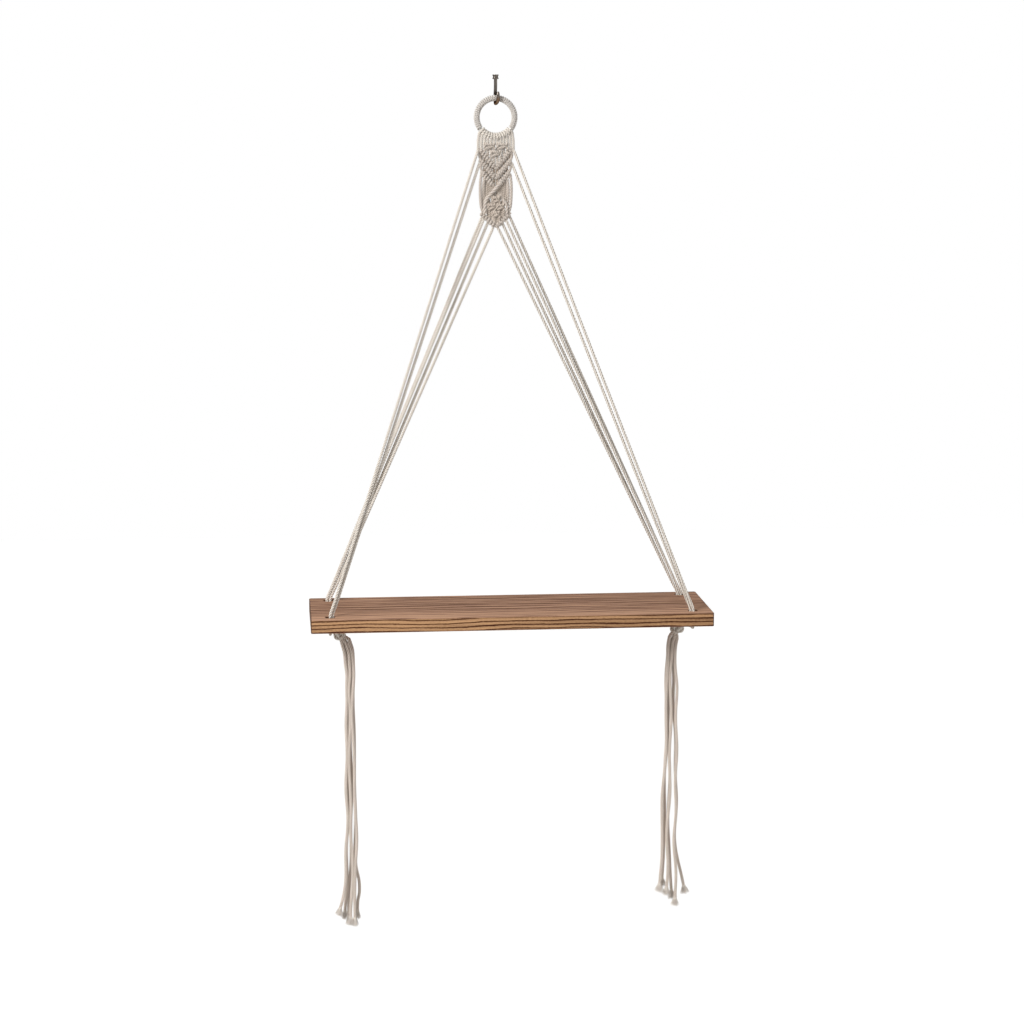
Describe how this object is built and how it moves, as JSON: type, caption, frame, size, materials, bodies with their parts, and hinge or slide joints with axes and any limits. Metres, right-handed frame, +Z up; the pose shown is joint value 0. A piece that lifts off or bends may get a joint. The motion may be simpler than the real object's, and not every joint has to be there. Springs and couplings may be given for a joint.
{
  "type": "hanging rope shelf",
  "caption": "Wooden board hung level by cotton ropes from a knotted macrame panel, a cord-wound ring and a steel hook, with a tassel under each end.",
  "frame": {"origin": "middle of the hook collar's flat top, where the shelf is hung up", "axes": "+Z up, +X along the board to the viewer's right, -Y towards the viewer"},
  "size_m": [0.42, 0.12, 0.8944],
  "materials": {
    "hook_steel": "dark polished wire",
    "ring_steel": "plain steel under the winding",
    "cotton_rope": "natural off-white twisted cotton",
    "knotted_cotton": "natural off-white twisted cotton drawn tight in knots",
    "board_wood": "brown stained softwood with open grain"
  },
  "bodies": {
    "hook": {"hook_collar": "hook_steel", "hook_rod": "hook_steel"},
    "ring": {"ring_rod": "ring_steel", "ring_winding": "cotton_rope", "head_1": "cotton_rope", "head_2": "cotton_rope", "head_3": "cotton_rope", "head_4": "cotton_rope", "head_5": "cotton_rope", "head_6": "cotton_rope"},
    "hanger": {"square_knot_left": "knotted_cotton", "square_knot_right": "knotted_cotton", "square_knot_centre": "knotted_cotton", "diamond_knots": "knotted_cotton", "hitch_row_1_left": "cotton_rope", "hitch_row_1_right": "cotton_rope", "hitch_row_2_left": "cotton_rope", "hitch_row_2_right": "cotton_rope", "hitch_row_3_left": "cotton_rope", "hitch_row_3_right": "cotton_rope", "crossing_front": "cotton_rope", "crossing_back": "cotton_rope", "side_strand_1_left": "cotton_rope", "side_strand_1_right": "cotton_rope", "side_strand_2_left": "cotton_rope", "side_strand_2_right": "cotton_rope", "closing_row_left": "cotton_rope", "closing_row_right": "cotton_rope", "rope_left_1": "cotton_rope", "rope_left_2": "cotton_rope", "rope_left_3": "cotton_rope", "rope_left_4": "cotton_rope", "rope_left_5": "cotton_rope", "rope_left_6": "cotton_rope", "rope_right_1": "cotton_rope", "rope_right_2": "cotton_rope", "rope_right_3": "cotton_rope", "rope_right_4": "cotton_rope", "rope_right_5": "cotton_rope", "rope_right_6": "cotton_rope", "board": "board_wood", "end_knot_left": "cotton_rope", "end_knot_right": "cotton_rope"},
    "left_tassel": {"tassel_left_1": "cotton_rope", "tassel_left_2": "cotton_rope", "tassel_left_3": "cotton_rope", "tassel_left_4": "cotton_rope", "tassel_left_5": "cotton_rope", "tassel_left_6": "cotton_rope"},
    "right_tassel": {"tassel_right_1": "cotton_rope", "tassel_right_2": "cotton_rope", "tassel_right_3": "cotton_rope", "tassel_right_4": "cotton_rope", "tassel_right_5": "cotton_rope", "tassel_right_6": "cotton_rope"}
  },
  "joints": [
    {"name": "ring_swing", "type": "hinge", "parent": "hook", "child": "ring", "pos_m": [0, 0, -0.0293], "axis": [0, 1, 0], "range_deg": [-25, 25]},
    {"name": "front_back_bend", "type": "hinge", "parent": "ring", "child": "hanger", "pos_m": [0, -0.0013, -0.06825], "axis": [1, 0, 0], "range_deg": [-20, 20]},
    {"name": "left_tassel_swing", "type": "hinge", "parent": "hanger", "child": "left_tassel", "pos_m": [-0.1655, 0, -0.5823], "axis": [0, 1, 0], "range_deg": [-25, 25]},
    {"name": "right_tassel_swing", "type": "hinge", "parent": "hanger", "child": "right_tassel", "pos_m": [0.1925, 0, -0.5823], "axis": [0, 1, 0], "range_deg": [-25, 25]}
  ]
}
